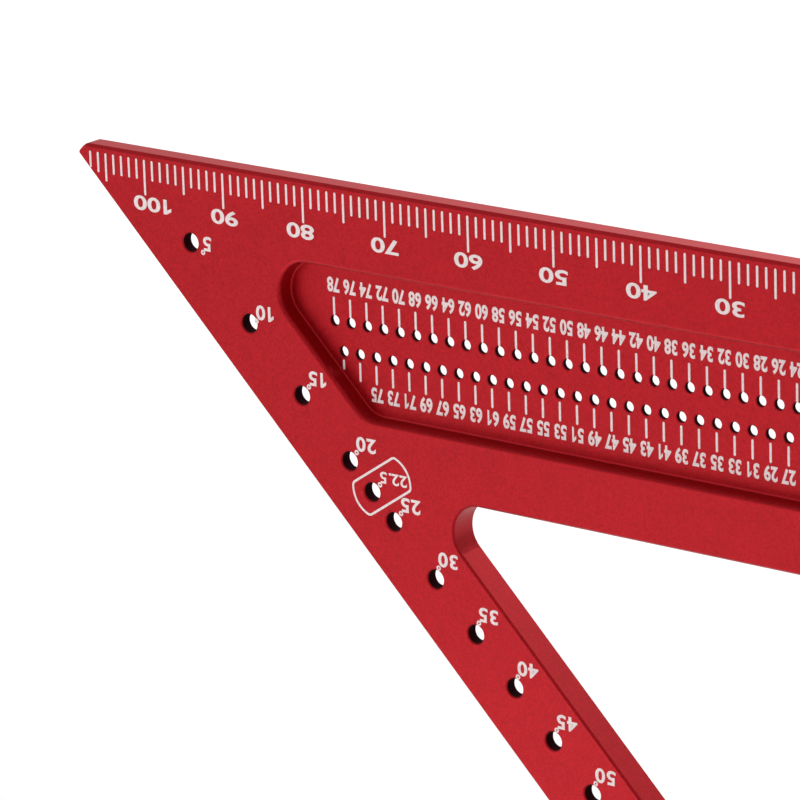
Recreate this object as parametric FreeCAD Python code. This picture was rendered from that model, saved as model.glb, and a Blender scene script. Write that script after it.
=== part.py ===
import FreeCAD, Part
import math
import os

# Speed square: a milled aluminium triangle (the blade) held between the two cheeks of a fence.
#
# Frame: the origin is where the ruler edge meets the working face of the fence, halfway through
# the blade. X runs along the ruler edge and points out of the fence's back, so the ruler scale
# counts towards -X. Z points up, square to the ruler edge. Y points from the marked front face
# to the plain back face.
#
# Millimetres. "Scale" is a distance from the fence along the ruler edge, "drop" is a distance
# below the ruler edge.

# Blade plate
leg_length = 109.6            # fence face to where the ruler edge and the hypotenuse would meet
blade_thickness = 3.0
tip_cut = 2.0                 # taken off the sharp tip along the ruler edge
tip_round = 0.4
ruler_front_chamfer = 0.3
ruler_back_chamfer = 0.9
hypotenuse_chamfer = 0.1

# Fence
fence_width = 25.0
fence_thickness = 20.0
fence_overrun = 1.4           # the fence is longer than the leg by this much, at its lower end
fence_chamfer = 0.8
dust_relief = 1.0             # groove along the corner between the working face and the blade

# Scribing pocket in the front face
pocket_drop = 8.3
pocket_height = 14.7
pocket_floor = 1.2            # metal left under the pocket
pocket_fence_gap = 4.5
pocket_hypotenuse_gap = 9.4   # square to the hypotenuse
pocket_corner_radius = 3.3
pocket_floor_fillet = 0.2
pocket_mouth_round = 0.45

# Scribing holes: two rows, one for even and one for odd millimetres
scribe_diameter = 1.06
scribe_pitch = 2
scribe_row_inset = 5.8        # pocket's upper wall to the even row
scribe_row_spacing = 3.0
scribe_hole_lip = 0.07        # small chamfer at the pocket's floor
scribe_hole_land = 0.5        # depth of a hole, below it each row opens into a slot at the back
scribe_slot_width = 2.2
scribe_first_gap = 3.0        # least distance along a row from the pocket's end to the first hole
scribe_last_gap = 3.5         # least distance along a row from the last hole to the slanted wall

# Window
window_web = 6.2              # bar between the pocket and the window
window_fence_gap = 9.0
window_hypotenuse_gap = 9.15  # square to the hypotenuse
window_corner_radius = 3.2
window_chamfer = 0.2

# Angle holes along the hypotenuse
angle_line_gap = 4.886        # hole centres to the hypotenuse
angle_hole_diameter = 1.9
angle_hole_land = 1.25        # depth from the front, below it the hole opens at 45 degrees
angle_hole_lip = 0.12         # small chamfer at the front
angle_step = 5.0
half_angles = (22.5, 67.5)

# Screws that clamp the cheeks on the blade
screw_count = 4
screw_end_inset = 14.0
screw_diameter = 4.0
screw_head_diameter = 7.0
screw_head_height = 4.0
screw_head_chamfer = 0.3
screw_socket_across_flats = 3.0
screw_socket_depth = 2.0
screw_tip_chamfer = 0.5
counterbore_clearance = 0.4   # on the radius of the head
counterbore_sink = 0.4        # depth of the head's top below the cheek's face
screw_hole_clearance = 0.15   # on the radius, in the front cheek and the blade
tapped_hole_clearance = 0.02  # on the radius, in the back cheek
tapped_hole_spare = 0.6       # depth past the screw's end
tapped_hole_wall = 1.0        # metal left behind the tapped holes

# Dowel pins that fix the blade square to the fence
dowel_diameter = 4.0
dowel_hole_wall = 3.0         # metal left behind the dowel holes, in both cheeks
dowel_end_clearance = 0.5     # in the front cheek's blind hole
dowel_chamfer = 0.4
dowel_clearance = 0.01        # on the radius

cut_spare = 1.0               # how far a cutter runs past the face it opens
tolerance = 1e-4              # for telling which edges lie on a face

# Sizes that follow from the ones above
front_y = -blade_thickness / 2
back_y = blade_thickness / 2
fence_front_y = -fence_thickness / 2
fence_back_y = fence_thickness / 2
fence_length = leg_length + fence_overrun
fence_middle_x = fence_width / 2
screw_radius = screw_diameter / 2
screw_head_top_y = fence_front_y + counterbore_sink
screw_head_seat_y = screw_head_top_y + screw_head_height
tapped_hole_end_y = fence_back_y - tapped_hole_wall
screw_end_y = tapped_hole_end_y - tapped_hole_spare
dowel_hole_front_y = fence_front_y + dowel_hole_wall
dowel_start_y = dowel_hole_front_y + dowel_end_clearance
dowel_end_y = fence_back_y - dowel_hole_wall
dowel_hole_radius = dowel_diameter / 2 + dowel_clearance
screw_hole_radius = screw_radius + screw_hole_clearance
diagonal = math.sqrt(2.0)
pocket_slant = leg_length - pocket_hypotenuse_gap * diagonal
window_slant = leg_length - window_hypotenuse_gap * diagonal
window_drop = pocket_drop + pocket_height + window_web
angle_line = leg_length - angle_line_gap * diagonal

Y_AXIS = FreeCAD.Vector(0, 1, 0)


def point(scale, drop, y=0.0):
    """The point at a distance from the fence, a distance below the ruler edge, and a depth y."""
    return FreeCAD.Vector(-scale, y, -drop)


def cylinder(radius, y_from, y_to, scale, drop):
    """A round bar along Y."""
    return Part.makeCylinder(radius, y_to - y_from, point(scale, drop, y_from), Y_AXIS)


def cone(radius_from, radius_to, y_from, y_to, scale, drop):
    """A conical bar along Y."""
    return Part.makeCone(radius_from, radius_to, y_to - y_from, point(scale, drop, y_from), Y_AXIS)


def rounded_face(corners, radii):
    """A flat face whose outline has its corners rounded; a radius of 0 leaves a corner sharp."""
    turns = []
    for index, corner in enumerate(corners):
        if radii[index] == 0:
            turns.append((corner, None, corner))
            continue
        to_before = (corners[index - 1] - corner).normalize()
        to_after = (corners[(index + 1) % len(corners)] - corner).normalize()
        half_angle = to_before.getAngle(to_after) / 2
        trim = radii[index] / math.tan(half_angle)
        bisector = (to_before + to_after).normalize()
        middle = corner + bisector * (radii[index] / math.sin(half_angle) - radii[index])
        turns.append((corner + to_before * trim, middle, corner + to_after * trim))
    edges = []
    for index, (start, middle, end) in enumerate(turns):
        if middle is not None:
            edges.append(Part.Arc(start, middle, end).toShape())
        next_start = turns[(index + 1) % len(turns)][0]
        edges.append(Part.LineSegment(end, next_start).toShape())
    return Part.Face(Part.Wire(edges))


def prism(corners, radii, y_from, y_to):
    """A straight block along Y with rounded corners."""
    face = rounded_face(corners, radii)
    face.translate(FreeCAD.Vector(0, y_from, 0))
    return face.extrude(FreeCAD.Vector(0, y_to - y_from, 0))


def edges_where(shape, wanted):
    """The edges whose two ends and centre of mass all pass a test."""
    found = []
    for edge in shape.Edges:
        spots = [vertex.Point for vertex in edge.Vertexes] + [edge.CenterOfMass]
        if all(wanted(spot) for spot in spots):
            found.append(edge)
    return found


def near(value, target):
    return abs(value - target) < tolerance


def pocket_corners():
    bottom_drop = pocket_drop + pocket_height
    return [
        point(pocket_fence_gap, pocket_drop),
        point(pocket_fence_gap, bottom_drop),
        point(pocket_slant - bottom_drop, bottom_drop),
        point(pocket_slant - pocket_drop, pocket_drop),
    ]


def edge_wedge(start, end, outward, face_y, size):
    """The bar that a 45-degree chamfer takes off a straight edge of the plate."""
    along_y = Y_AXIS * math.copysign(1.0, face_y)
    corner = FreeCAD.Vector(start.x, face_y, start.z)
    outline = [
        corner - outward * (size + cut_spare) + along_y * cut_spare,
        corner - along_y * (size + cut_spare) + outward * cut_spare,
        corner + outward * cut_spare + along_y * cut_spare,
    ]
    return Part.Face(Part.makePolygon(outline + outline[:1])).extrude(end - start)


def blade_plate():
    """The plate with its chamfered edges; it runs on between the cheeks to the fence's back."""
    fence_end = [point(-fence_width, 0), point(-fence_width, fence_length), point(0, fence_length)]
    tip = [point(leg_length - tip_cut / 2, tip_cut / 2), point(leg_length - tip_cut, 0)]
    lower_corner = point(0, leg_length)
    sharp_tip = point(leg_length, 0)
    up = FreeCAD.Vector(0, 0, 1)
    slanted = FreeCAD.Vector(-1, 0, -1).normalize()
    wedges = [
        edge_wedge(sharp_tip, fence_end[0], up, front_y, ruler_front_chamfer),
        edge_wedge(sharp_tip, fence_end[0], up, back_y, ruler_back_chamfer),
        edge_wedge(sharp_tip, lower_corner, slanted, front_y, hypotenuse_chamfer),
        edge_wedge(sharp_tip, lower_corner, slanted, back_y, hypotenuse_chamfer),
    ]
    plate = prism(fence_end + [lower_corner, sharp_tip], [0] * 5, front_y, back_y).cut(wedges)
    blunt_radii = [0, 0, 0, 0, tip_round, tip_round]
    return plate.common(prism(fence_end + [lower_corner] + tip, blunt_radii, front_y, back_y))


def pocket_cutter():
    """The scribing pocket, with a small fillet where its walls meet its floor."""
    floor_y = back_y - pocket_floor
    block = prism(pocket_corners(), [pocket_corner_radius] * 4, front_y - cut_spare, floor_y)
    floor_edges = edges_where(block, lambda spot: near(spot.y, floor_y))
    return block.makeFillet(pocket_floor_fillet, floor_edges)


def moved_in(corners, distance):
    """The corners of a convex outline after each side moves inwards by a distance."""
    moved = []
    for index, corner in enumerate(corners):
        to_before = (corners[index - 1] - corner).normalize()
        to_after = (corners[(index + 1) % len(corners)] - corner).normalize()
        half_angle = to_before.getAngle(to_after) / 2
        bisector = (to_before + to_after).normalize()
        moved.append(corner + bisector * (distance / math.sin(half_angle)))
    return moved


def window_cutter():
    """The triangular window, behind the chamfer of its front edge."""
    outline = [
        point(window_fence_gap, window_drop),
        point(window_fence_gap, window_slant - window_fence_gap),
        point(window_slant - window_drop, window_drop),
    ]
    wall_radius = window_corner_radius - window_chamfer
    wall_outline = moved_in(outline, window_chamfer)
    return prism(wall_outline, [wall_radius] * 3, front_y - cut_spare, back_y + cut_spare)


def on_window_front(spot):
    """Whether a point of the plate lies on the front edge of the window."""
    below_top = -spot.z > window_drop + window_chamfer / 2
    inside_slant = -spot.x - spot.z < window_slant - window_chamfer / 2
    past_fence_side = -spot.x > window_fence_gap + window_chamfer / 2
    return near(spot.y, front_y) and below_top and inside_slant and past_fence_side


def on_pocket_front(spot):
    """Whether a point of the plate lies on the front edge of the scribing pocket."""
    in_drop = pocket_drop - tolerance < -spot.z < pocket_drop + pocket_height + tolerance
    inside_slant = -spot.x - spot.z < pocket_slant + tolerance
    past_fence_side = -spot.x > pocket_fence_gap - tolerance
    return near(spot.y, front_y) and in_drop and inside_slant and past_fence_side


def scribe_places():
    """The scale and drop of each scribing hole: an even row, and an odd row below it."""
    even_drop = pocket_drop + scribe_row_inset
    first_index = math.ceil((pocket_fence_gap + scribe_first_gap) / scribe_pitch)
    last_index = math.floor((pocket_slant - even_drop - scribe_last_gap) / scribe_pitch)
    places = []
    for index in range(first_index, last_index + 1):
        even_scale = index * scribe_pitch
        places.append((even_scale, even_drop))
        places.append((even_scale - scribe_pitch / 2, even_drop + scribe_row_spacing))
    return places


def angle_places():
    """The scale and drop of each angle hole, on the line parallel to the hypotenuse."""
    angles = [angle_step * count for count in range(1, round(90 / angle_step))]
    places = []
    for angle in sorted(angles + list(half_angles)):
        scale = angle_line / (1 + math.tan(math.radians(angle)))
        places.append((scale, angle_line - scale))
    return places


def scribe_hole_cutters(scale, drop):
    """One scribing hole with its small lip at the pocket's floor."""
    radius = scribe_diameter / 2
    floor_y = back_y - pocket_floor
    lip_end_y = floor_y + scribe_hole_lip
    return [
        through_hole(radius, scale, drop),
        cone(radius + scribe_hole_lip, radius, floor_y, lip_end_y, scale, drop),
    ]


def angle_hole_cutters(scale, drop):
    """One angle hole: a small lip, a short land, and a countersink from the back."""
    radius = angle_hole_diameter / 2
    land_end = front_y + angle_hole_land
    sink_depth = back_y - land_end
    return [
        through_hole(radius, scale, drop),
        cone(radius + angle_hole_lip, radius, front_y, front_y + angle_hole_lip, scale, drop),
        cone(radius, radius + sink_depth, land_end, back_y, scale, drop),
    ]


def screw_places():
    """The scale and drop of each screw, spaced evenly along the middle of the fence."""
    spacing = (fence_length - 2 * screw_end_inset) / (screw_count - 1)
    return [(-fence_middle_x, screw_end_inset + spacing * index) for index in range(screw_count)]


def dowel_places():
    """The upper and lower dowel, halfway between the end screws and their neighbours."""
    drops = [drop for scale, drop in screw_places()]
    upper_drop = (drops[0] + drops[1]) / 2
    lower_drop = (drops[-1] + drops[-2]) / 2
    return {"upper": (-fence_middle_x, upper_drop), "lower": (-fence_middle_x, lower_drop)}


def through_hole(radius, scale, drop):
    """The cutter for a hole right through the blade."""
    return cylinder(radius, front_y - cut_spare, back_y + cut_spare, scale, drop)


def scribe_slot_cutters():
    """The two long round-ended slots in the back face, one behind each row of scribing holes."""
    slot_y = back_y - pocket_floor + scribe_hole_land
    slot_depth = back_y + cut_spare - slot_y
    radius = scribe_slot_width / 2
    cutters = []
    for drop in sorted({drop for scale, drop in scribe_places()}):
        scales = [scale for scale, row_drop in scribe_places() if row_drop == drop]
        corner = point(max(scales), drop + radius, slot_y)
        length = max(scales) - min(scales)
        cutters.append(Part.makeBox(length, slot_depth, scribe_slot_width, corner))
        for scale in (min(scales), max(scales)):
            cutters.append(cylinder(radius, slot_y, back_y + cut_spare, scale, drop))
    return cutters


def make_blade():
    plate = blade_plate().cut(pocket_cutter()).cut(window_cutter())
    plate = plate.makeChamfer(window_chamfer, edges_where(plate, on_window_front))
    plate = plate.makeFillet(pocket_mouth_round, edges_where(plate, on_pocket_front))
    holes = [through_hole(screw_hole_radius, *place) for place in screw_places()]
    holes += [through_hole(dowel_hole_radius, *place) for place in dowel_places().values()]
    for place in scribe_places():
        holes += scribe_hole_cutters(*place)
    for place in angle_places():
        holes += angle_hole_cutters(*place)
    return plate.cut(holes + scribe_slot_cutters())


def cheek_block(inner_y, outer_y):
    """One half of the fence: a bar with its outer edges chamfered and a relief at the blade."""
    low_y = min(inner_y, outer_y)
    high_y = max(inner_y, outer_y)
    block = Part.makeBox(
        fence_width, high_y - low_y, fence_length, FreeCAD.Vector(0, low_y, -fence_length)
    )
    outer_edges = edges_where(block, lambda spot: near(spot.y, outer_y))
    block = block.makeChamfer(fence_chamfer, outer_edges)
    relief_edges = edges_where(block, lambda spot: near(spot.y, inner_y) and near(spot.x, 0))
    return block.makeChamfer(dust_relief, relief_edges)


def make_front_cheek():
    head_hole_radius = screw_head_diameter / 2 + counterbore_clearance
    inner_y = front_y + cut_spare
    holes = []
    for place in screw_places():
        holes.append(cylinder(head_hole_radius, fence_front_y - cut_spare, screw_head_seat_y, *place))
        holes.append(cylinder(screw_hole_radius, screw_head_seat_y, inner_y, *place))
    for place in dowel_places().values():
        holes.append(cylinder(dowel_hole_radius, dowel_hole_front_y, inner_y, *place))
    return cheek_block(front_y, fence_front_y).cut(holes)


def make_back_cheek():
    tapped_radius = screw_radius + tapped_hole_clearance
    inner_y = back_y - cut_spare
    holes = []
    for place in screw_places():
        holes.append(cylinder(tapped_radius, inner_y, tapped_hole_end_y, *place))
    for place in dowel_places().values():
        holes.append(cylinder(dowel_hole_radius, inner_y, dowel_end_y, *place))
    return cheek_block(back_y, fence_back_y).cut(holes)


def hexagon_cutter(scale, drop):
    """The hexagonal socket in a screw's head."""
    corner_radius = screw_socket_across_flats / 2 / math.cos(math.radians(30))
    corners = []
    for index in range(6):
        angle = math.radians(60 * index)
        across = corner_radius * math.cos(angle)
        down = corner_radius * math.sin(angle)
        corners.append(point(scale + across, drop + down))
    socket_end_y = screw_head_top_y + screw_socket_depth
    return prism(corners, [0] * 6, screw_head_top_y - cut_spare, socket_end_y)


def chamfered_rod(radius, y_from, y_to, chamfers, scale, drop):
    """A round rod with a chamfer at its first and its second end; 0 leaves an end sharp."""
    rod = cylinder(radius, y_from, y_to, scale, drop)
    for end_y, chamfer in zip((y_from, y_to), chamfers):
        if chamfer > 0:
            rim = edges_where(rod, lambda spot: near(spot.y, end_y))
            rod = rod.makeChamfer(chamfer, rim)
    return rod


def make_screw(scale, drop):
    head_ends = (screw_head_chamfer, 0)
    head = chamfered_rod(
        screw_head_diameter / 2, screw_head_top_y, screw_head_seat_y, head_ends, scale, drop
    )
    shank_ends = (0, screw_tip_chamfer)
    shank = chamfered_rod(screw_radius, screw_head_seat_y, screw_end_y, shank_ends, scale, drop)
    return head.fuse(shank).removeSplitter().cut(hexagon_cutter(scale, drop))


def make_dowel(scale, drop):
    ends = (dowel_chamfer, dowel_chamfer)
    return chamfered_rod(dowel_diameter / 2, dowel_start_y, dowel_end_y, ends, scale, drop)


def make_parts():
    parts = {
        "blade": make_blade(),
        "fence_front_cheek": make_front_cheek(),
        "fence_back_cheek": make_back_cheek(),
    }
    for number, (scale, drop) in enumerate(screw_places(), start=1):
        parts[f"fence_screw_{number}"] = make_screw(scale, drop)
    for name, (scale, drop) in dowel_places().items():
        parts[f"dowel_pin_{name}"] = make_dowel(scale, drop)
    return parts


os.makedirs("parts", exist_ok=True)
for name, shape in make_parts().items():
    solid = shape.Solids[0] if len(shape.Solids) == 1 else shape
    solid.exportStep(f"parts/{name}.step")
    print(f"{name}: {len(shape.Solids)} solid, valid {shape.isValid()}, {shape.Volume:.1f} mm3")
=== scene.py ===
import math

import bmesh
import bpy
from mathutils import Matrix, Vector


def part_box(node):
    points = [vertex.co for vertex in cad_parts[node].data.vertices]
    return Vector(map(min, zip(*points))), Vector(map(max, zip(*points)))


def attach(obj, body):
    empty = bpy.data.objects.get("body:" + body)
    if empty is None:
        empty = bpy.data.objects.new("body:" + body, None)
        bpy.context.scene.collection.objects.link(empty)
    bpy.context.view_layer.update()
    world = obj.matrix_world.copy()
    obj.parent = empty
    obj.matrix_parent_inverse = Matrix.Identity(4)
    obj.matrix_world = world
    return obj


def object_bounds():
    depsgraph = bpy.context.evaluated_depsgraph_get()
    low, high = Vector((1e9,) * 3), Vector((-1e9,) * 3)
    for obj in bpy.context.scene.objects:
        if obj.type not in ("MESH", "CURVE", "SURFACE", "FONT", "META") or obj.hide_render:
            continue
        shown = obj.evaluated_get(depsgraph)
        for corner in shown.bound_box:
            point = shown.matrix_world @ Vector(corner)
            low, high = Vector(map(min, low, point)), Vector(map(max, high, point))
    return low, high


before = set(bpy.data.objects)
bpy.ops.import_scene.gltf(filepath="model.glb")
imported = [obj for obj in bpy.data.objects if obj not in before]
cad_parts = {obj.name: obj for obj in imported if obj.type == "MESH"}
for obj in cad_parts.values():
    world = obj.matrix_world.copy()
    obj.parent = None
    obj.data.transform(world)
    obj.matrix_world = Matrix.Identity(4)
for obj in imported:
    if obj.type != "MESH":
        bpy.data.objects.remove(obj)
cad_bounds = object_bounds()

# The looks of a red anodised speed square: materials, printed marks, studio and camera.
#
# The frame has X running out of the fence's back, Z up and Y towards the plain back face. A
# "scale" is a distance from the fence along the ruler edge, so it is -X, and a "drop" is a
# distance below the ruler edge, so it is -Z. Lengths in the tables below are millimetres.

MM = 0.001

# Places on the blade that its marks line up with
LEG_LENGTH = 109.6
POCKET_DEPTH = 1.8
EVEN_ROW_DROP = 14.1
ODD_ROW_DROP = 17.1
FIRST_EVEN_HOLE = 8
LAST_EVEN_HOLE = 78
SCRIBE_PITCH = 2
ANGLE_LINE = 102.69           # scale plus drop of every angle hole
HALF_ANGLES = (22.5, 67.5)
WHOLE_ANGLES = range(5, 90, 5)

# Marks
MARK_PROUD = 0.012            # how far a mark stands out of the metal
MARK_SUNK = 0.05              # how far it reaches into the metal
TICK_WIDTH = 0.25
TICK_START = 0.66
TICK_ENDS = {10: 4.26, 5: 3.55, 1: 2.73}
LAST_TICK = 107

# Drilled holes, which bound the mask of painted shade on the bore walls: a little more than their
# radii, and a drop above all of the angle holes
SCRIBE_HOLE_REACH = 0.60
ANGLE_HOLE_REACH = 1.05
ANGLE_HOLES_FROM = 3.0
BORE_WALL_TURN = 0.5          # a bore's wall faces front or back by less than this

# Where an angle's number stands from its hole, along the scale and the drop
FIRST_ANGLE_SHIFTS = {5: (-2.15, -0.15), 10: (-2.15, -1.3)}
LOW_ANGLE_SHIFT = (-2.15, -1.95)
HIGH_ANGLE_SHIFT = (-1.65, -2.15)
HIGH_ANGLES_FROM = 30

# Degree signs: the ring, and where it stands from the last digit's middle
DEGREE_RADIUS = 0.18
DEGREE_LINE_WIDTH = 0.17
DEGREE_SHIFT = (0.55, 0.92)

# Numerals: height, width of a zero, pitch from digit to digit, and how bold
RULER_DIGITS = {"height": 1.5, "width": 1.66, "pitch": 1.74, "bold": 0.024}
SCRIBE_DIGITS = {"height": 1.5, "width": 0.76, "pitch": 0.77, "bold": 0.036}
ANGLE_DIGITS = {"height": 1.5, "width": 1.15, "pitch": 1.28, "bold": 0.026}
HALF_ANGLE_DIGITS = {"height": 1.2, "width": 0.92, "pitch": 0.98, "bold": 0.018}


def place(scale, drop, y=0.0):
    """A point given by its scale, drop and depth in millimetres, in the frame's metres."""
    return Vector((-scale * MM, y * MM, -drop * MM))


FRONT_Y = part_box("blade")[0].y / MM
FLOOR_Y = FRONT_Y + POCKET_DEPTH


# ---------------------------------------------------------------- materials

# The part of a noise's range that colours and roughnesses are spread over
NOISE_LOW = 0.3
NOISE_HIGH = 0.7


def new_material(name):
    """A material with only a Principled shader and an output."""
    material = bpy.data.materials.new(name)
    material.use_nodes = True
    tree = material.node_tree
    shader = tree.nodes["Principled BSDF"]
    return material, tree, shader


def noise(tree, per_mm, detail, offset=0.0):
    """A 3-D noise with this many features per millimetre, in the object's own coordinates."""
    coordinates = tree.nodes.new("ShaderNodeTexCoord")
    mapping = tree.nodes.new("ShaderNodeMapping")
    mapping.inputs["Location"].default_value = (offset, offset, offset)
    texture = tree.nodes.new("ShaderNodeTexNoise")
    texture.inputs["Scale"].default_value = per_mm / MM
    texture.inputs["Detail"].default_value = detail
    texture.inputs["Roughness"].default_value = 0.6
    tree.links.new(coordinates.outputs["Object"], mapping.inputs["Vector"])
    tree.links.new(mapping.outputs["Vector"], texture.inputs["Vector"])
    return texture.outputs["Fac"]


def ramp(tree, factor, low, high):
    """A colour that runs from low to high with a noise."""
    node = tree.nodes.new("ShaderNodeValToRGB")
    node.color_ramp.elements[0].position = NOISE_LOW
    node.color_ramp.elements[1].position = NOISE_HIGH
    node.color_ramp.elements[0].color = (*low, 1.0)
    node.color_ramp.elements[1].color = (*high, 1.0)
    tree.links.new(factor, node.inputs["Fac"])
    return node.outputs["Color"]


def product(tree, first, second):
    """One colour multiplied by another."""
    node = tree.nodes.new("ShaderNodeMix")
    node.data_type = "RGBA"
    node.blend_type = "MULTIPLY"
    node.inputs["Factor"].default_value = 1.0
    tree.links.new(first, node.inputs["A"])
    tree.links.new(second, node.inputs["B"])
    return node.outputs["Result"]


def remapped(tree, factor, low, high):
    """A number that runs from low to high with a noise."""
    node = tree.nodes.new("ShaderNodeMapRange")
    node.inputs["From Min"].default_value = NOISE_LOW
    node.inputs["From Max"].default_value = NOISE_HIGH
    node.inputs["To Min"].default_value = low
    node.inputs["To Max"].default_value = high
    tree.links.new(factor, node.inputs["Value"])
    return node.outputs["Result"]


def bumped(tree, shader, height, strength, depth_mm):
    """Gives the shader a bump of this depth."""
    node = tree.nodes.new("ShaderNodeBump")
    node.inputs["Strength"].default_value = strength
    node.inputs["Distance"].default_value = depth_mm * MM
    tree.links.new(height, node.inputs["Height"])
    tree.links.new(node.outputs["Normal"], shader.inputs["Normal"])


def calculated(tree, operation, first, second):
    """The result of one sum; each of the two values is a socket or a plain number."""
    node = tree.nodes.new("ShaderNodeMath")
    node.operation = operation
    for socket, value in zip(node.inputs, (first, second)):
        if isinstance(value, bpy.types.NodeSocket):
            tree.links.new(value, socket)
        else:
            socket.default_value = value
    return node.outputs["Value"]


def how_long(tree, first, second):
    """The length of a vector with these two parts."""
    first_square = calculated(tree, "POWER", first, 2.0)
    second_square = calculated(tree, "POWER", second, 2.0)
    return calculated(tree, "SQRT", calculated(tree, "ADD", first_square, second_square), 0.0)


def bore_walls(tree):
    """Mask for painted shade: one on the walls of the drilled holes and zero on the rest of the
    blade.
    """
    coordinates = tree.nodes.new("ShaderNodeTexCoord")
    position = tree.nodes.new("ShaderNodeSeparateXYZ")
    tree.links.new(coordinates.outputs["Object"], position.inputs["Vector"])
    facing = tree.nodes.new("ShaderNodeSeparateXYZ")
    tree.links.new(coordinates.outputs["Normal"], facing.inputs["Vector"])
    scale = calculated(tree, "DIVIDE", position.outputs["X"], -MM)
    drop = calculated(tree, "DIVIDE", position.outputs["Z"], -MM)

    # The two rows of scribing holes
    from_even = calculated(tree, "PINGPONG", scale, SCRIBE_PITCH / 2)
    from_odd = calculated(tree, "SUBTRACT", SCRIBE_PITCH / 2, from_even)
    even_far = how_long(tree, from_even, calculated(tree, "SUBTRACT", drop, EVEN_ROW_DROP))
    odd_far = how_long(tree, from_odd, calculated(tree, "SUBTRACT", drop, ODD_ROW_DROP))
    nearest = calculated(tree, "MINIMUM", even_far, odd_far)
    in_circle = calculated(tree, "LESS_THAN", nearest, SCRIBE_HOLE_REACH)
    rows_middle = (FIRST_EVEN_HOLE - 1 + LAST_EVEN_HOLE) / 2
    rows_reach = LAST_EVEN_HOLE + SCRIBE_HOLE_REACH - rows_middle
    past_middle = calculated(tree, "SUBTRACT", scale, rows_middle)
    from_middle = calculated(tree, "ABSOLUTE", past_middle, 0.0)
    in_rows = calculated(tree, "LESS_THAN", from_middle, rows_reach)
    in_scribe_hole = calculated(tree, "MULTIPLY", in_circle, in_rows)

    # The line of angle holes, which runs at 45 degrees
    past_line = calculated(tree, "SUBTRACT", calculated(tree, "ADD", scale, drop), ANGLE_LINE)
    off_line = calculated(tree, "ABSOLUTE", past_line, 0.0)
    near_line = calculated(tree, "LESS_THAN", off_line, ANGLE_HOLE_REACH * math.sqrt(2.0))
    below_edge = calculated(tree, "GREATER_THAN", drop, ANGLE_HOLES_FROM)
    in_angle_hole = calculated(tree, "MULTIPLY", near_line, below_edge)

    in_hole = calculated(tree, "MAXIMUM", in_scribe_hole, in_angle_hole)
    turned = calculated(tree, "ABSOLUTE", facing.outputs["Y"], 0.0)
    is_wall = calculated(tree, "LESS_THAN", turned, BORE_WALL_TURN)
    return calculated(tree, "MULTIPLY", in_hole, is_wall)


def raw_bore(tree):
    """Painted shade: a dull, nearly black shader that stands in for the shade inside the drilled
    holes.
    """
    shader = tree.nodes.new("ShaderNodeBsdfPrincipled")
    shader.inputs["Base Color"].default_value = (0.022, 0.0022, 0.0045, 1.0)
    shader.inputs["Roughness"].default_value = 0.95
    shader.inputs["Specular IOR Level"].default_value = 0.05
    return shader


def anodised(name, dark, light, drilled):
    """Bead-blasted, dyed aluminium under a thin clear film; if it is drilled, shade is painted on
    the bore walls with a nearly black shader.
    """
    material, tree, shader = new_material(name)
    grain = noise(tree, per_mm=5.0, detail=3.0)
    mottle = noise(tree, per_mm=0.35, detail=4.0, offset=3.7)
    grain_colour = ramp(tree, grain, dark, light)
    mottle_colour = ramp(tree, mottle, (0.93, 0.90, 0.90), (1.0, 1.0, 1.0))
    dyed = product(tree, grain_colour, mottle_colour)
    tree.links.new(dyed, shader.inputs["Base Color"])
    tree.links.new(remapped(tree, grain, 0.36, 0.50), shader.inputs["Roughness"])
    shader.inputs["Metallic"].default_value = 0.72
    shader.inputs["Specular IOR Level"].default_value = 0.3
    shader.inputs["Coat Weight"].default_value = 0.1
    shader.inputs["Coat Roughness"].default_value = 0.35
    shader.inputs["Coat IOR"].default_value = 1.5
    bumped(tree, shader, grain, 0.35, 0.02)
    if drilled:
        # Painted shade: the bore walls get the nearly black shader in place of the anodised one.
        blend = tree.nodes.new("ShaderNodeMixShader")
        tree.links.new(bore_walls(tree), blend.inputs["Fac"])
        tree.links.new(shader.outputs["BSDF"], blend.inputs[1])
        tree.links.new(raw_bore(tree).outputs["BSDF"], blend.inputs[2])
        tree.links.new(blend.outputs["Shader"], tree.nodes["Material Output"].inputs["Surface"])
    return material


def printed_white(name):
    """Matt off-white marking with the metal's grain showing through."""
    material, tree, shader = new_material(name)
    grain = noise(tree, per_mm=4.0, detail=3.0, offset=1.3)
    colour = ramp(tree, grain, (0.80, 0.65, 0.65), (0.95, 0.85, 0.85))
    tree.links.new(colour, shader.inputs["Base Color"])
    tree.links.new(remapped(tree, grain, 0.55, 0.75), shader.inputs["Roughness"])
    bumped(tree, shader, grain, 0.3, 0.01)
    return material


def steel(name, dark, light, roughness):
    """Bare or blackened steel with fine turning marks."""
    material, tree, shader = new_material(name)
    grain = noise(tree, per_mm=6.0, detail=4.0, offset=5.1)
    tree.links.new(ramp(tree, grain, dark, light), shader.inputs["Base Color"])
    tree.links.new(
        remapped(tree, grain, roughness - 0.06, roughness + 0.08), shader.inputs["Roughness"]
    )
    shader.inputs["Metallic"].default_value = 1.0
    bumped(tree, shader, grain, 0.25, 0.01)
    return material


def floor_white(name):
    """Matt white paper, hardly uneven."""
    material, tree, shader = new_material(name)
    grain = noise(tree, per_mm=0.02, detail=2.0)
    colour = ramp(tree, grain, (0.90, 0.90, 0.90), (0.92, 0.92, 0.92))
    tree.links.new(colour, shader.inputs["Base Color"])
    shader.inputs["Roughness"].default_value = 0.9
    return material


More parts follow.
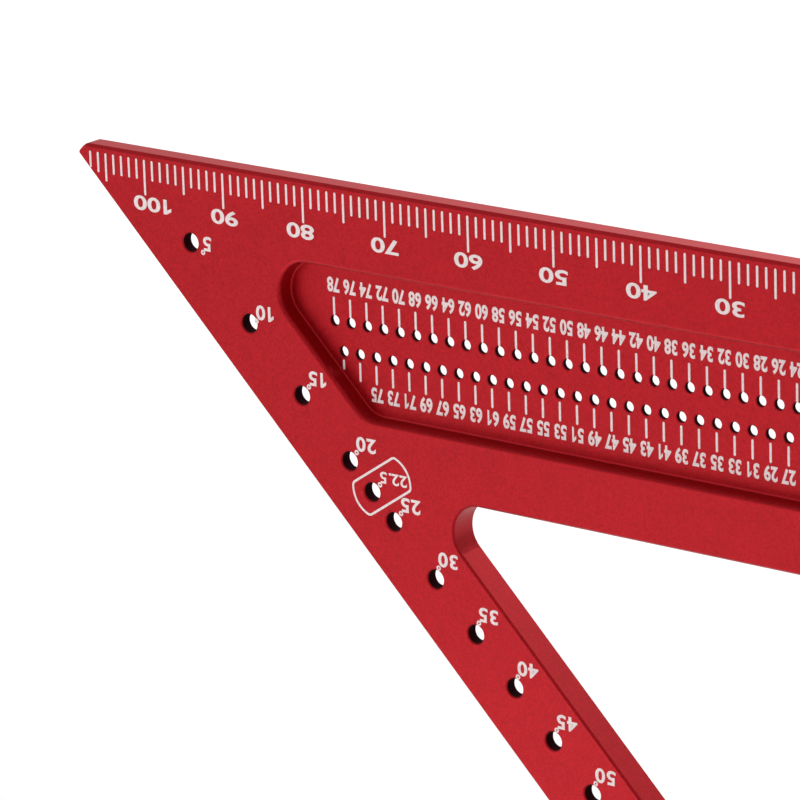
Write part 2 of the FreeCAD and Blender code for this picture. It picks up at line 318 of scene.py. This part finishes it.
def paint_nodes():
    """Gives every CAD node its finish."""
    blade_red = anodised(
        "blade_anodised", (0.33, 0.0008, 0.0045), (0.52, 0.0050, 0.0140), drilled=True
    )
    fence_red = anodised(
        "fence_anodised", (0.32, 0.0008, 0.0045), (0.51, 0.0050, 0.0135), drilled=False
    )
    black_steel = steel("screw_steel", (0.030, 0.030, 0.032), (0.065, 0.065, 0.070), 0.34)
    bright_steel = steel("pin_steel", (0.52, 0.52, 0.54), (0.66, 0.66, 0.68), 0.24)
    for name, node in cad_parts.items():
        if name == "blade":
            finish = blade_red
        elif name.startswith("fence_screw"):
            finish = black_steel
        elif name.startswith("dowel"):
            finish = bright_steel
        else:
            finish = fence_red
        node.data.materials.clear()
        node.data.materials.append(finish)


# ---------------------------------------------------------------- marks


class MarkSheet:
    """Gathers flat marks that lie on one face of the blade and makes one piece of them."""

    def __init__(self, face_y):
        self.face_y = face_y
        self.mesh = bmesh.new()

    def add_outline(self, outline):
        """A closed plate from an outline of (scale, drop) points."""
        near_y = self.face_y - MARK_PROUD
        far_y = self.face_y + MARK_SUNK
        near = [self.mesh.verts.new(place(scale, drop, near_y)) for scale, drop in outline]
        far = [self.mesh.verts.new(place(scale, drop, far_y)) for scale, drop in outline]
        self.mesh.faces.new(near)
        self.mesh.faces.new(far[::-1])
        for index in range(len(outline)):
            after = (index + 1) % len(outline)
            self.mesh.faces.new((near[after], near[index], far[index], far[after]))

    def add_ribbon(self, path, width):
        """A closed ribbon of even width along a closed path of (scale, drop) points."""
        near_y = self.face_y - MARK_PROUD
        far_y = self.face_y + MARK_SUNK
        rings = []
        for side, y in ((1, near_y), (-1, near_y), (-1, far_y), (1, far_y)):
            ring = []
            for index, (scale, drop) in enumerate(path):
                before = Vector(path[index - 1])
                after = Vector(path[(index + 1) % len(path)])
                along = (after - before).normalized()
                across = Vector((-along.y, along.x)) * side * width / 2
                ring.append(self.mesh.verts.new(place(scale + across.x, drop + across.y, y)))
            rings.append(ring)
        for number, ring in enumerate(rings):
            other = rings[(number + 1) % len(rings)]
            for index in range(len(path)):
                after = (index + 1) % len(path)
                self.mesh.faces.new((ring[index], ring[after], other[after], other[index]))

    def add_glyph(self, glyph, scale, drop, width, height):
        """A digit's solid, centred on a place, stretched to a width and height."""
        corners = []
        for vertex in glyph["vertices"]:
            y = self.face_y + (MARK_SUNK if vertex.z > 0 else -MARK_PROUD)
            spot = place(scale + vertex.x * width, drop + vertex.y * height, y)
            corners.append(self.mesh.verts.new(spot))
        for face in glyph["faces"]:
            self.mesh.faces.new([corners[index] for index in face])

    def finish(self, name, material):
        """Makes the gathered marks one piece that rides on the blade's body."""
        bmesh.ops.recalc_face_normals(self.mesh, faces=self.mesh.faces)
        data = bpy.data.meshes.new(name)
        self.mesh.to_mesh(data)
        self.mesh.free()
        piece = bpy.data.objects.new(name, data)
        bpy.context.scene.collection.objects.link(piece)
        data.materials.append(material)
        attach(piece, "root")
        return piece


def arc(centre, radius, from_degrees, to_degrees, steps):
    """Points along an arc about a (scale, drop) centre."""
    points = []
    for step in range(steps + 1):
        angle = math.radians(from_degrees + (to_degrees - from_degrees) * step / steps)
        points.append((centre[0] + radius * math.cos(angle), centre[1] + radius * math.sin(angle)))
    return points


def line_outline(scale, start_drop, end_drop, width):
    """A line along the drop, with round ends."""
    radius = width / 2
    lower = arc((scale, end_drop - radius), radius, 0, 180, 6)
    upper = arc((scale, start_drop + radius), radius, 180, 360, 6)
    return lower + upper


def make_glyph(character, bold):
    """A digit's solid from the built-in font at a size of one; make_digits brings it to one unit
    high and, for a zero, one unit wide, about its middle.
    """
    text = bpy.data.curves.new(f"glyph_{character}", "FONT")
    text.body = character
    text.size = 1.0
    text.offset = bold
    text.extrude = 0.5
    text.resolution_u = 6
    holder = bpy.data.objects.new(text.name, text)
    bpy.context.scene.collection.objects.link(holder)
    bpy.context.view_layer.update()
    depsgraph = bpy.context.evaluated_depsgraph_get()
    data = bpy.data.meshes.new_from_object(holder.evaluated_get(depsgraph))
    bpy.data.objects.remove(holder)
    solid = bmesh.new()
    solid.from_mesh(data)
    bmesh.ops.remove_doubles(solid, verts=solid.verts, dist=1e-5)
    solid.verts.index_update()
    vertices = [vertex.co.copy() for vertex in solid.verts]
    faces = [[vertex.index for vertex in face.verts] for face in solid.faces]
    solid.free()
    bpy.data.meshes.remove(data)
    return {"vertices": vertices, "faces": faces}


def extent(glyph, axis):
    """The lowest and highest coordinate of a digit along one axis."""
    values = [vertex[axis] for vertex in glyph["vertices"]]
    return min(values), max(values)


def make_one():
    """A plain one with a flag and no foot, in the same units as the other digits."""
    outline = [
        (0.30, -0.5),
        (0.30, 0.5),
        (0.08, 0.5),
        (-0.30, 0.28),
        (-0.30, 0.05),
        (0.03, 0.22),
        (0.03, -0.5),
    ]
    count = len(outline)
    vertices = [Vector((x, y, z)) for z in (-0.5, 0.5) for x, y in outline]
    faces = [list(range(count)), list(range(count, 2 * count))[::-1]]
    for index in range(count):
        after = (index + 1) % count
        faces.append([index, after, after + count, index + count])
    return {"vertices": vertices, "faces": faces}


def make_digits(bold):
    """All digits and the point, scaled by the zero, each about the middle of its advance."""
    zero = make_glyph("0", bold)
    left, right = extent(zero, 0)
    bottom, top = extent(zero, 1)
    digits = {}
    digits["1"] = make_one()
    for character in "023456789.":
        glyph = make_glyph(character, bold)
        middle_x = (left + right) / 2
        if character == ".":
            own_left, own_right = extent(glyph, 0)
            middle_x = (own_left + own_right) / 2
        for vertex in glyph["vertices"]:
            vertex.x = (vertex.x - middle_x) / (right - left)
            vertex.y = (vertex.y - (bottom + top) / 2) / (top - bottom)
        digits[character] = glyph
    return digits


def add_number(sheet, digits, text, scale, drop, style):
    """Prints a number about a place; it reads with the ruler edge at its foot."""
    first = scale - style["pitch"] * (len(text) - 1) / 2
    for index, character in enumerate(text):
        spot = first + style["pitch"] * index
        sheet.add_glyph(digits[character], spot, drop, style["width"], style["height"])


def ruler_ticks(material):
    """Millimetre ticks up from the first to the last that the blade's tip leaves room for."""
    sheet = MarkSheet(FRONT_Y)
    for scale in range(1, LAST_TICK + 1):
        step = max(length for length in TICK_ENDS if scale % length == 0)
        room = LEG_LENGTH - scale - TICK_WIDTH
        sheet.add_outline(line_outline(scale, TICK_START, min(TICK_ENDS[step], room), TICK_WIDTH))
    return sheet.finish("ruler_ticks", material)


def ruler_numerals(material, digits):
    """The tens below the ruler ticks; a few stand a little off their ticks."""
    sheet = MarkSheet(FRONT_Y)
    drop = 5.1
    shifts = {80: 0.4, 90: -0.1, 100: -1.05}
    for scale in range(10, 101, 10):
        add_number(sheet, digits, str(scale), scale + shifts.get(scale, 0), drop, RULER_DIGITS)
    return sheet.finish("ruler_numerals", material)


def scribe_marks(material, digits):
    """A short line and a number at each scribing hole, on the pocket's floor."""
    lines = MarkSheet(FLOOR_Y)
    numbers = MarkSheet(FLOOR_Y)
    line_width = 0.25
    even_gap = 0.55
    even_length = 1.85
    even_number_gap = 3.6
    odd_gap = 0.78
    odd_length = 1.95
    short_length = 1.0
    odd_number_gap = 3.75
    for even in range(FIRST_EVEN_HOLE, LAST_EVEN_HOLE + 1, SCRIBE_PITCH):
        end = EVEN_ROW_DROP - even_gap
        lines.add_outline(line_outline(even, end - even_length, end, line_width))
        number_drop = EVEN_ROW_DROP - even_number_gap
        add_number(numbers, digits, str(even), even, number_drop, SCRIBE_DIGITS)
        odd = even - 1
        start = ODD_ROW_DROP + odd_gap
        length = odd_length if even < LAST_EVEN_HOLE else short_length
        lines.add_outline(line_outline(odd, start, start + length, line_width))
        if odd + 2 < LAST_EVEN_HOLE - 1:
            number_drop = ODD_ROW_DROP + odd_number_gap
            add_number(numbers, digits, str(odd + 2), odd, number_drop, SCRIBE_DIGITS)
    lines.finish("scribe_lines", material)
    numbers.finish("scribe_numerals", material)


def angle_spot(angle):
    """The scale and drop of the hole for an angle."""
    scale = ANGLE_LINE / (1 + math.tan(math.radians(angle)))
    return scale, ANGLE_LINE - scale


def degree_sign(sheet, scale, drop):
    """A small ring about a place."""
    path = arc((scale, drop), DEGREE_RADIUS, 0, 360, 20)[:-1]
    sheet.add_ribbon(path, DEGREE_LINE_WIDTH)


def angle_number_shift(angle):
    """Where an angle's number stands from its hole."""
    usual = LOW_ANGLE_SHIFT if angle < HIGH_ANGLES_FROM else HIGH_ANGLE_SHIFT
    return FIRST_ANGLE_SHIFTS.get(angle, usual)


def angle_marks(material, digits, small_digits):
    """The angle beside each hole along the hypotenuse."""
    sheet = MarkSheet(FRONT_Y)
    for angle in WHOLE_ANGLES:
        scale, drop = angle_spot(angle)
        across, down = angle_number_shift(angle)
        text = str(angle)
        add_number(sheet, digits, text, scale + across, drop + down, ANGLE_DIGITS)
        last = scale + across + ANGLE_DIGITS["pitch"] * (len(text) - 1) / 2
        degree_sign(sheet, last + DEGREE_SHIFT[0], drop + down + DEGREE_SHIFT[1])
    whole_across = -3.45
    point_across = -2.32
    five_across = -1.5
    degree_across = -1.05
    half_down = -1.72
    degree_down = half_down + 0.80
    style = HALF_ANGLE_DIGITS
    for angle in HALF_ANGLES:
        scale, drop = angle_spot(angle)
        number_drop = drop + half_down
        whole = str(int(angle))
        add_number(sheet, small_digits, whole, scale + whole_across, number_drop, style)
        add_number(sheet, small_digits, "5", scale + five_across, number_drop, style)
        add_number(sheet, small_digits, ".", scale + point_across, number_drop, style)
        degree_sign(sheet, scale + degree_across, drop + degree_down)
    return sheet.finish("angle_numerals", material)


def half_angle_boxes(material):
    """A rounded box round each half-angle hole and its number."""
    sheet = MarkSheet(FRONT_Y)
    half_length = 3.69
    half_width = 1.8
    end_radius = 2.8
    corner_radius = 0.5
    line_width = 0.23
    tilt = math.radians(33.5)
    shift = (-1.25, -0.78)
    turn = math.degrees(math.asin((half_width - corner_radius) / (end_radius - corner_radius)))
    end_centre = half_length - end_radius
    corner_x = end_centre + (end_radius - corner_radius) * math.cos(math.radians(turn))
    corner_y = half_width - corner_radius
    quarter = arc((corner_x, corner_y), corner_radius, 90, turn, 6)
    right_end = arc((end_centre, 0), end_radius, turn, -turn, 14)
    lower = arc((corner_x, -corner_y), corner_radius, -turn, -90, 6)
    half = quarter + right_end[1:-1] + lower
    path = half + [(-x, -y) for x, y in half]
    for angle in HALF_ANGLES:
        scale, drop = angle_spot(angle)
        turned = []
        for x, y in path:
            turned.append((
                scale + shift[0] + x * math.cos(tilt) - y * math.sin(tilt),
                drop + shift[1] + x * math.sin(tilt) + y * math.cos(tilt),
            ))
        sheet.add_ribbon(turned, line_width)
    return sheet.finish("half_angle_boxes", material)


# ---------------------------------------------------------------- studio


def add_floor():
    """A wide floor under the lowest point of the object."""
    size = 20.0
    data = bpy.data.meshes.new("floor")
    height = cad_bounds[0][2]
    corners = [
        (-size, -size, height),
        (size, -size, height),
        (size, size, height),
        (-size, size, height),
    ]
    data.from_pydata(corners, [], [(0, 1, 2, 3)])
    floor = bpy.data.objects.new("floor", data)
    bpy.context.scene.collection.objects.link(floor)
    data.materials.append(floor_white("studio_floor"))


def add_light(name, data, spot, target):
    """Puts a light at a spot and points it at a target."""
    light = bpy.data.objects.new(name, data)
    light.location = spot
    light.rotation_euler = (Vector(target) - Vector(spot)).to_track_quat("-Z", "Y").to_euler()
    bpy.context.scene.collection.objects.link(light)


def add_area_light(name, spot, target, size, power):
    """A square soft light."""
    data = bpy.data.lights.new(name, "AREA")
    data.shape = "SQUARE"
    data.size = size
    data.energy = power
    add_light(name, data, spot, target)


def add_spot_light(name, spot, target, angle, power):
    """A soft-edged cone of light, this many degrees across."""
    data = bpy.data.lights.new(name, "SPOT")
    data.spot_size = math.radians(angle)
    data.spot_blend = 1.0
    data.shadow_soft_size = 0.05
    data.energy = power
    add_light(name, data, spot, target)


def add_studio():
    """An even white room, with a light on the face and one on the floor before and behind it."""
    world = bpy.data.worlds.new("studio")
    world.use_nodes = True
    background = world.node_tree.nodes["Background"]
    background.inputs["Color"].default_value = (1.0, 1.0, 1.0, 1.0)
    background.inputs["Strength"].default_value = 0.56
    bpy.context.scene.world = world
    bpy.context.scene.view_settings.view_transform = "Standard"
    blade_middle = (-0.06, 0.0, -0.05)
    floor_before = (-0.12, -0.13, -0.11)
    floor_behind = (-0.20, 0.42, -0.11)
    add_area_light("front_light", (-0.50, -0.62, 0.02), blade_middle, size=0.4, power=0.85)
    add_spot_light("floor_light", (-0.15, -0.26, 0.20), floor_before, angle=36, power=7.5)
    add_area_light("back_light", (-0.20, 0.65, 0.70), floor_behind, size=0.8, power=7.5)


def add_camera():
    """A long lens to the right of and a little above the blade, with a slight roll."""
    azimuth = math.radians(38.76)
    elevation = math.radians(16.78)
    roll = math.radians(-1.80)
    distance = 0.5380
    aim = place(68.77, 20.16, FRONT_Y)
    back = Vector((
        math.sin(azimuth) * math.cos(elevation),
        -math.cos(azimuth) * math.cos(elevation),
        math.sin(elevation),
    ))
    data = bpy.data.cameras.new("camera")
    data.lens = 253.1
    data.sensor_width = 36.0
    data.clip_start = 0.01
    data.clip_end = 100.0
    camera = bpy.data.objects.new("camera", data)
    bpy.context.scene.collection.objects.link(camera)
    level = back.to_track_quat("Z", "Y").to_matrix().to_4x4()
    rolled = level @ Matrix.Rotation(roll, 4, "Z")
    camera.matrix_world = Matrix.Translation(aim + back * distance) @ rolled
    bpy.context.scene.camera = camera


paint_nodes()
white = printed_white("markings")
ruler_ticks(white)
ruler_numerals(white, make_digits(RULER_DIGITS["bold"]))
scribe_marks(white, make_digits(SCRIBE_DIGITS["bold"]))
angle_marks(white, make_digits(ANGLE_DIGITS["bold"]), make_digits(HALF_ANGLE_DIGITS["bold"]))
half_angle_boxes(white)
add_floor()
add_studio()
add_camera()
